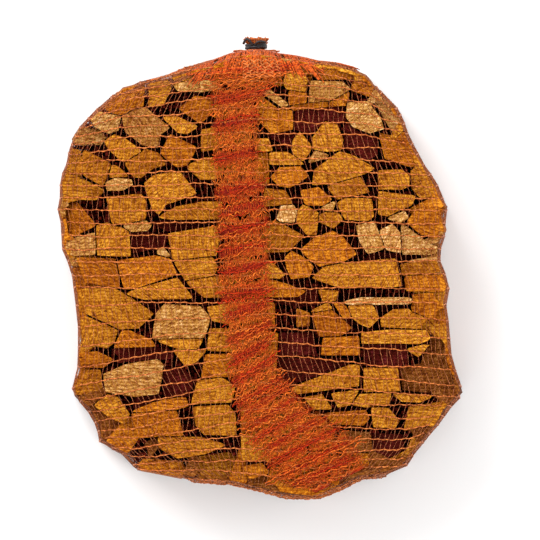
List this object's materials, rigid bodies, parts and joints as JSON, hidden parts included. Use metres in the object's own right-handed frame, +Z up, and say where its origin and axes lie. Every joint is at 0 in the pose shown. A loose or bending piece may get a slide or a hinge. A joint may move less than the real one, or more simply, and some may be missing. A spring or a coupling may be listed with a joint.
{
  "type": "firewood bundle",
  "caption": "Split kindling sticks packed end-up in a knitted net sack with a folded strip down its front, gathered and tied at the neck, lying on its back.",
  "frame": {"origin": "middle of the footprint, on the surface the sack lies on", "axes": "+Z up, out of the front of the sack; +Y from the closed bottom of the sack to its tied neck; +X to the right"},
  "size_m": [0.4162, 0.4672, 0.2092],
  "materials": {
    "wood": "split and sawn, unfinished",
    "net": "knitted flat tape, satin",
    "tie": "matte cord"
  },
  "bodies": {
    "root": {"neck_tie": "tie", "net_sack": "net", "small_sticks_01": "wood", "small_sticks_02": "wood", "small_sticks_03": "wood", "small_sticks_04": "wood", "small_sticks_05": "wood", "small_sticks_06": "wood", "small_sticks_07": "wood", "small_sticks_08": "wood", "small_sticks_09": "wood", "small_sticks_10": "wood", "small_sticks_11": "wood", "small_sticks_12": "wood", "small_sticks_13": "wood", "small_sticks_14": "wood", "small_sticks_15": "wood", "small_sticks_16": "wood", "small_sticks_17": "wood", "small_sticks_18": "wood", "small_sticks_19": "wood", "small_sticks_20": "wood", "stick_01": "wood", "stick_02": "wood", "stick_03": "wood", "stick_04": "wood", "stick_05": "wood", "stick_06": "wood", "stick_07": "wood", "stick_08": "wood", "stick_09": "wood", "stick_10": "wood", "stick_11": "wood", "stick_12": "wood", "stick_13": "wood", "stick_14": "wood", "stick_15": "wood", "stick_16": "wood", "stick_17": "wood", "stick_18": "wood", "stick_19": "wood", "stick_20": "wood", "stick_21": "wood", "stick_22": "wood", "stick_23": "wood", "stick_24": "wood", "stick_25": "wood", "stick_26": "wood", "stick_27": "wood", "stick_28": "wood", "stick_29": "wood", "stick_30": "wood", "stick_31": "wood", "stick_32": "wood", "stick_33": "wood", "stick_34": "wood", "stick_35": "wood", "stick_36": "wood", "stick_37": "wood", "stick_38": "wood"}
  },
  "joints": []
}
